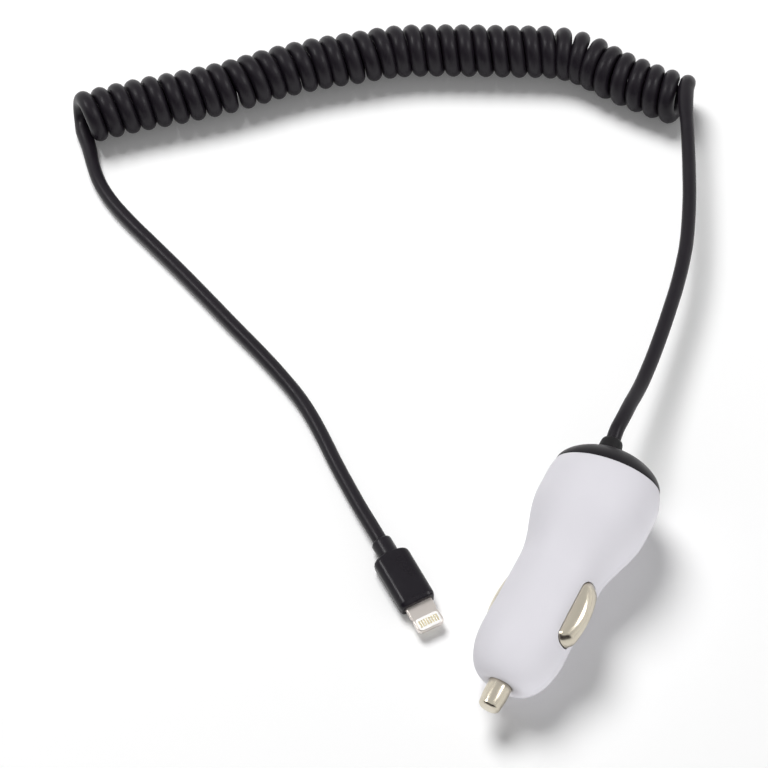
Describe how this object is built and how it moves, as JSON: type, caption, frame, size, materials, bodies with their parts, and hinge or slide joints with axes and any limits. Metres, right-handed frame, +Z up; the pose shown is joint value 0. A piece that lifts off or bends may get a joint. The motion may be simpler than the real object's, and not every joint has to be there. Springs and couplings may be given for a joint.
{
  "type": "in-car socket charger",
  "caption": "Plug-in charger for a 12 V car socket, with a sprung tip contact, sprung side contacts, and a fixed curly lead that ends in a flat tab connector.",
  "frame": {"origin": "on the floor under the middle of the charger, measured without the lead and its connector", "axes": "+Z up; the charger lies along Y with its tip contact towards -Y; +X is to the right of a person looking along +Y"},
  "size_m": [0.1865, 0.1882, 0.0279],
  "materials": {
    "housing_white": "white satin-gloss housing plastic",
    "cap_black": "black satin cap plastic",
    "collar_black": "soft black collar",
    "contact_nickel": "polished nickel plate with a warm tone",
    "spring_steel": "bright spring steel",
    "terminal_brass": "brass",
    "board_green": "green board",
    "chip_black": "moulded black",
    "ferrite_grey": "dark grey ferrite",
    "winding_copper": "enamelled copper",
    "can_blue": "dark blue sleeve",
    "fuse_tan": "tan ceramic",
    "core_red": "red insulation",
    "core_black": "black insulation",
    "lead_black": "black satin jacket",
    "boot_black": "black satin moulding",
    "tab_nickel": "satin nickel with a warm tone",
    "insert_white": "white insert",
    "contact_gold": "gold plate"
  },
  "bodies": {
    "charger": {"barrel_shell": "housing_white", "end_cap": "cap_black", "strain_relief": "collar_black", "tip_spring": "spring_steel", "tip_terminal": "terminal_brass", "ground_leaf_right": "spring_steel", "ground_leaf_left": "spring_steel", "circuit_board": "board_green", "converter_chip": "chip_black", "inductor_core": "ferrite_grey", "inductor_winding": "winding_copper", "input_capacitor": "can_blue", "output_capacitor": "can_blue", "diode": "chip_black", "board_fuse": "fuse_tan", "chip_resistors": "chip_black", "chip_capacitors": "fuse_tan", "power_core": "core_red", "ground_core": "core_black", "lead_charger_side": "lead_black", "lead_curl": "lead_black", "lead_connector_side": "lead_black", "connector_boot": "boot_black", "connector_tab": "tab_nickel", "contact_insert": "insert_white", "connector_board": "board_green", "connector_chip": "chip_black", "contact_top_1": "contact_gold", "contact_bottom_1": "contact_gold", "contact_top_2": "contact_gold", "contact_bottom_2": "contact_gold", "contact_top_3": "contact_gold", "contact_bottom_3": "contact_gold", "contact_top_4": "contact_gold", "contact_bottom_4": "contact_gold", "contact_top_5": "contact_gold", "contact_bottom_5": "contact_gold", "contact_top_6": "contact_gold", "contact_bottom_6": "contact_gold", "contact_top_7": "contact_gold", "contact_bottom_7": "contact_gold", "contact_top_8": "contact_gold", "contact_bottom_8": "contact_gold"},
    "tip": {"tip_contact": "contact_nickel"},
    "side_right": {"ground_contact_right": "contact_nickel"},
    "side_left": {"ground_contact_left": "contact_nickel"}
  },
  "joints": [
    {"name": "tip_slide", "type": "slide", "parent": "charger", "child": "tip", "axis": [0, 0.9953, 0.0971], "range_m": [0, 0.003], "stiffness_N_per_m": 1200, "springref_m": -0.002, "deforming": ["tip_spring"]},
    {"name": "side_right_slide", "type": "slide", "parent": "charger", "child": "side_right", "axis": [-0.8746, 0.0471, -0.4825], "range_m": [0, 0.0025], "stiffness_N_per_m": 1800, "springref_m": -0.0008, "deforming": ["ground_leaf_right"]},
    {"name": "side_left_slide", "type": "slide", "parent": "charger", "child": "side_left", "axis": [0.8746, -0.0471, 0.4825], "range_m": [0, 0.0025], "stiffness_N_per_m": 1800, "springref_m": -0.0008, "deforming": ["ground_leaf_left"]}
  ]
}
